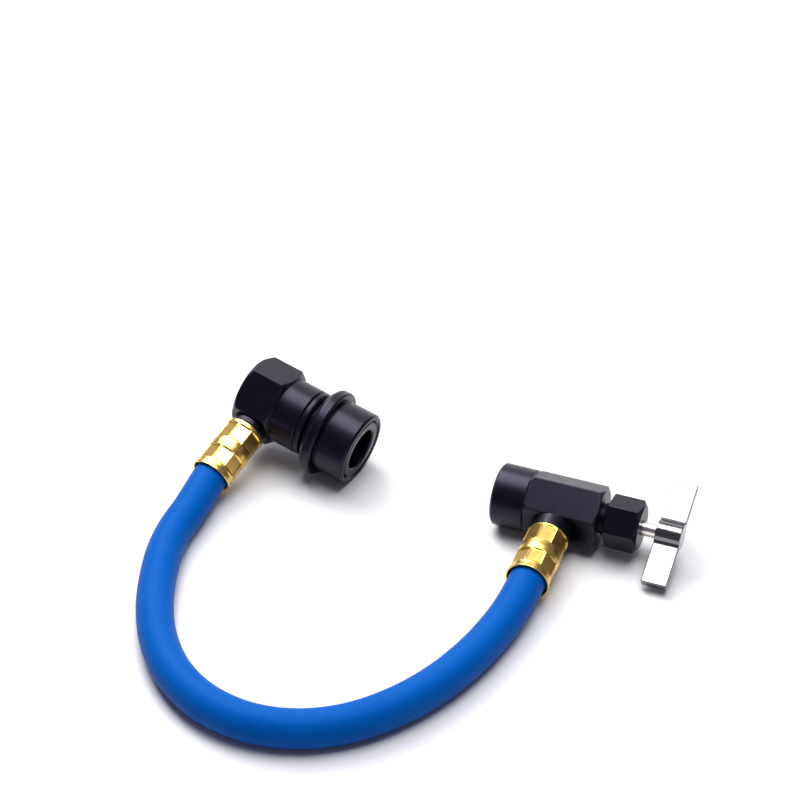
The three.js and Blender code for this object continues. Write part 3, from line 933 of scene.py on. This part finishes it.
def make_stem():
    end = HANDLE_START + HANDLE_WIDTH - 1.6
    profile = [
        (0, NEEDLE_TIP), (0.35, NEEDLE_TIP + 0.4, 0.1), (NEEDLE_R, NEEDLE_TIP + 3, 0.3),
        (NEEDLE_R, 2.2), (STEM_R, 3.4),
        (STEM_R, end - 0.3), (STEM_R - 0.3, end), (0, end),
    ]
    stem = turned("screwed_stem", profile, STEEL, closed=False, angles=even_angles(96))
    fit(stem, TAP, "valve_stem")


def arc_points(centre_x, centre_y, radius, start, end, count):
    found = []
    for i in range(count + 1):
        a = start + (end - start) * i / count
        found.append((centre_x + radius * math.cos(a), centre_y + radius * math.sin(a)))
    return found


# Outline of the handle: two straight wings that flow into a round hub
def wing_outline():
    half, t, flow = HANDLE_LENGTH / 2, HANDLE_THICK / 2, WING_FLOW
    reach = math.sqrt((HUB_R + flow) ** 2 - (t + flow) ** 2)
    touch = math.atan2(t + flow, reach)
    quarter = [(half, -t), (half, t)]
    quarter += arc_points(reach, t + flow, flow, -math.pi / 2, -math.pi + touch, 8)
    quarter += arc_points(0, 0, HUB_R, touch, math.pi - touch, 24)[1:]
    quarter += arc_points(-reach, t + flow, flow, -touch, -math.pi / 2, 8)[1:]
    return quarter + [(-x, -y) for x, y in quarter]


def make_handle():
    outline = wing_outline()
    count = len(outline)
    ends = (HANDLE_START, HANDLE_START + HANDLE_WIDTH)
    vertices = [(x * MM, y * MM, z * MM) for z in ends for x, y in outline]
    faces = [tuple(reversed(range(count))), tuple(range(count, 2 * count))]
    faces += strip(range(count), range(count, 2 * count))
    handle = mesh_object("wing_bar", vertices, faces, CHROME)
    start, bottom = HANDLE_START - 1, ends[1] - HUB_WALL
    hole = [(0, start), (STEM_HOLE_R, start, 0), (STEM_HOLE_R, bottom, 0), (0, bottom)]
    tool = turned("stem_drill", hole, CHROME, closed=False, angles=even_angles(48))
    bore = handle.modifiers.new("bore", "BOOLEAN")
    bore.operation = "DIFFERENCE"
    bore.solver = "EXACT"
    bore.object = tool
    soft = handle.modifiers.new("soft_edges", "BEVEL")
    soft.width = 0.4 * MM
    soft.segments = 3
    soft.limit_method = "ANGLE"
    soft.angle_limit = math.radians(40)
    soft.harden_normals = True
    handle.data.shade_smooth()
    bpy.context.view_layer.update()
    settle(handle)
    bpy.data.objects.remove(tool)
    mark_surface(handle)
    turn = Matrix.Rotation(math.radians(90 + TAP_ROLL - HANDLE_TILT), 4, "Z")
    handle.data.transform(TAP @ turn)
    dress(handle, "wing_handle")


make_tap_body()
make_can_seal()
make_packing_nut()
make_packing()
make_stem()
make_handle()


# Studio: pale floor, one large soft key behind on the left, soft overhead fill
def make_floor():
    half = 3.0
    corners = [(-half, -half, 0), (half, -half, 0), (half, half, 0), (-half, half, 0)]
    floor = mesh_object("floor", corners, [(0, 1, 2, 3)], floor_paper())


def area_light(name, place, aim, size, power, colour=(1, 1, 1)):
    data = bpy.data.lights.new(name, "AREA")
    data.shape = "SQUARE"
    data.size = size
    data.energy = power
    data.color = colour
    light = bpy.data.objects.new(name, data)
    light.location = place
    light.rotation_euler = (Vector(aim) - Vector(place)).to_track_quat("-Z", "Y").to_euler()
    bpy.context.scene.collection.objects.link(light)


def make_studio():
    make_floor()
    area_light("key_softbox", (-0.55, 0.45, 0.95), (0, -0.03, 0), 0.7, 16)
    area_light("top_softbox", (0.10, 0.05, 1.30), (0, -0.05, 0), 0.9, 19)
    area_light("back_softbox", (-0.20, 1.15, 0.48), (0, 0, 0.03), 1.0, 3.4)
    world = bpy.data.worlds.new("studio")
    world.use_nodes = True
    sky = world.node_tree.nodes["Background"]
    sky.inputs["Color"].default_value = (0.76, 0.74, 1.0, 1)
    sky.inputs["Strength"].default_value = 0.20
    bpy.context.scene.world = world
    bpy.context.scene.view_settings.view_transform = "Standard"


make_studio()
